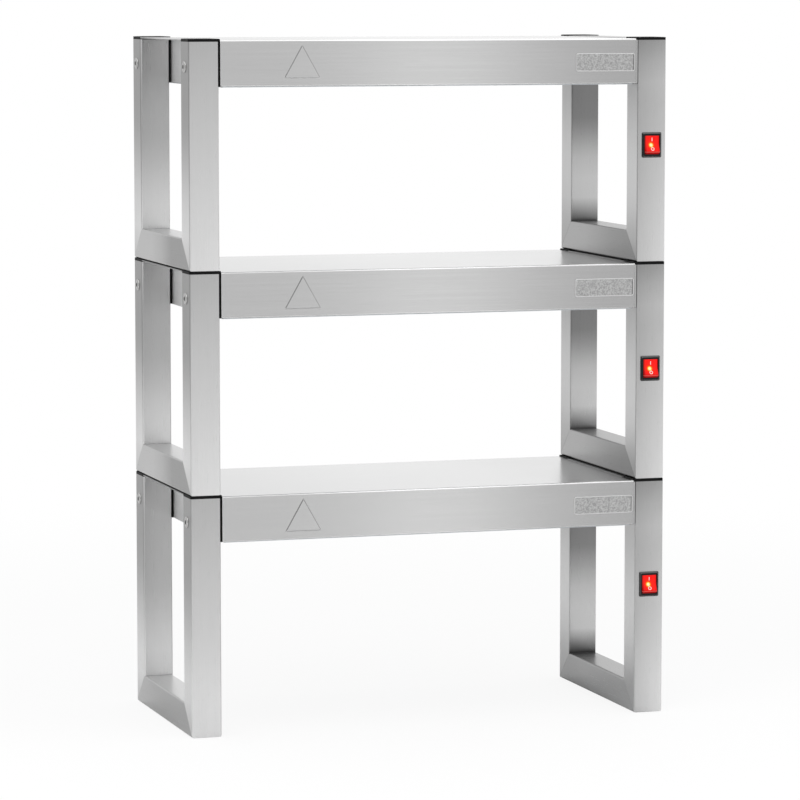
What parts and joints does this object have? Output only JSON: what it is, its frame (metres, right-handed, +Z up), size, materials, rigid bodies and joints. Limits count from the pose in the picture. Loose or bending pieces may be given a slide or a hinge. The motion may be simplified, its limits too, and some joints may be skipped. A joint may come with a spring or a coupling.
{
  "type": "heated food gantry",
  "caption": "Tiered stainless steel gantry of heated shelves on mitred box-tube side frames, with a lit rocker switch for each shelf.",
  "frame": {"origin": "on the counter, under the middle of the gantry's bounding box", "axes": "+X to the right along the shelves, +Y from front to back, +Z up; the switches face -Y"},
  "size_m": [0.6578, 0.3144, 0.9],
  "materials": {
    "frame_steel": "brushed along each tube",
    "shelf_steel": "brushed from end to end",
    "cap_moulding": "fine satin moulding",
    "screw_steel": "bright turned",
    "switch_moulding": "smooth",
    "rocker_lens": "translucent, lit from behind",
    "cover_sheet": "plain zinc-coated sheet",
    "heater_silicone": "matt",
    "mineral_wool": "fibrous",
    "thermostat_body": "semi-matt",
    "terminal_ceramic": "glazed",
    "wire_sleeve": "matt sleeve",
    "gland_moulding": "satin moulding"
  },
  "bodies": {
    "gantry": {"lower_left_frame": "frame_steel", "lower_right_frame": "frame_steel", "lower_shelf_shell": "shelf_steel", "lower_base_cover": "cover_sheet", "lower_heating_mat": "heater_silicone", "lower_insulation": "mineral_wool", "lower_thermostat": "thermostat_body", "lower_terminal_block": "terminal_ceramic", "lower_wiring_loom": "wire_sleeve", "lower_cable_gland": "gland_moulding", "lower_switch_body": "switch_moulding", "lower_cap_front_left": "cap_moulding", "lower_cap_rear_left": "cap_moulding", "lower_cap_front_right": "cap_moulding", "lower_cap_rear_right": "cap_moulding", "lower_screw_front_left": "screw_steel", "lower_screw_rear_left": "screw_steel", "lower_screw_front_right": "screw_steel", "lower_screw_rear_right": "screw_steel", "middle_left_frame": "frame_steel", "middle_right_frame": "frame_steel", "middle_shelf_shell": "shelf_steel", "middle_base_cover": "cover_sheet", "middle_heating_mat": "heater_silicone", "middle_insulation": "mineral_wool", "middle_thermostat": "thermostat_body", "middle_terminal_block": "terminal_ceramic", "middle_wiring_loom": "wire_sleeve", "middle_cable_gland": "gland_moulding", "middle_switch_body": "switch_moulding", "middle_cap_front_left": "cap_moulding", "middle_cap_rear_left": "cap_moulding", "middle_cap_front_right": "cap_moulding", "middle_cap_rear_right": "cap_moulding", "middle_screw_front_left": "screw_steel", "middle_screw_rear_left": "screw_steel", "middle_screw_front_right": "screw_steel", "middle_screw_rear_right": "screw_steel", "upper_left_frame": "frame_steel", "upper_right_frame": "frame_steel", "upper_shelf_shell": "shelf_steel", "upper_base_cover": "cover_sheet", "upper_heating_mat": "heater_silicone", "upper_insulation": "mineral_wool", "upper_thermostat": "thermostat_body", "upper_terminal_block": "terminal_ceramic", "upper_wiring_loom": "wire_sleeve", "upper_cable_gland": "gland_moulding", "upper_switch_body": "switch_moulding", "upper_cap_front_left": "cap_moulding", "upper_cap_rear_left": "cap_moulding", "upper_cap_front_right": "cap_moulding", "upper_cap_rear_right": "cap_moulding", "upper_screw_front_left": "screw_steel", "upper_screw_rear_left": "screw_steel", "upper_screw_front_right": "screw_steel", "upper_screw_rear_right": "screw_steel"},
    "lower_switch_lever": {"lower_rocker": "rocker_lens"},
    "middle_switch_lever": {"middle_rocker": "rocker_lens"},
    "upper_switch_lever": {"upper_rocker": "rocker_lens"}
  },
  "joints": [
    {"name": "lower_switch_rock", "type": "hinge", "parent": "gantry", "child": "lower_switch_lever", "pos_m": [0.305, -0.14821, 0.173], "axis": [1, 0, 0], "range_deg": [0, 24]},
    {"name": "middle_switch_rock", "type": "hinge", "parent": "gantry", "child": "middle_switch_lever", "pos_m": [0.305, -0.14821, 0.462], "axis": [1, 0, 0], "range_deg": [0, 24]},
    {"name": "upper_switch_rock", "type": "hinge", "parent": "gantry", "child": "upper_switch_lever", "pos_m": [0.305, -0.14821, 0.758], "axis": [1, 0, 0], "range_deg": [0, 24]}
  ]
}
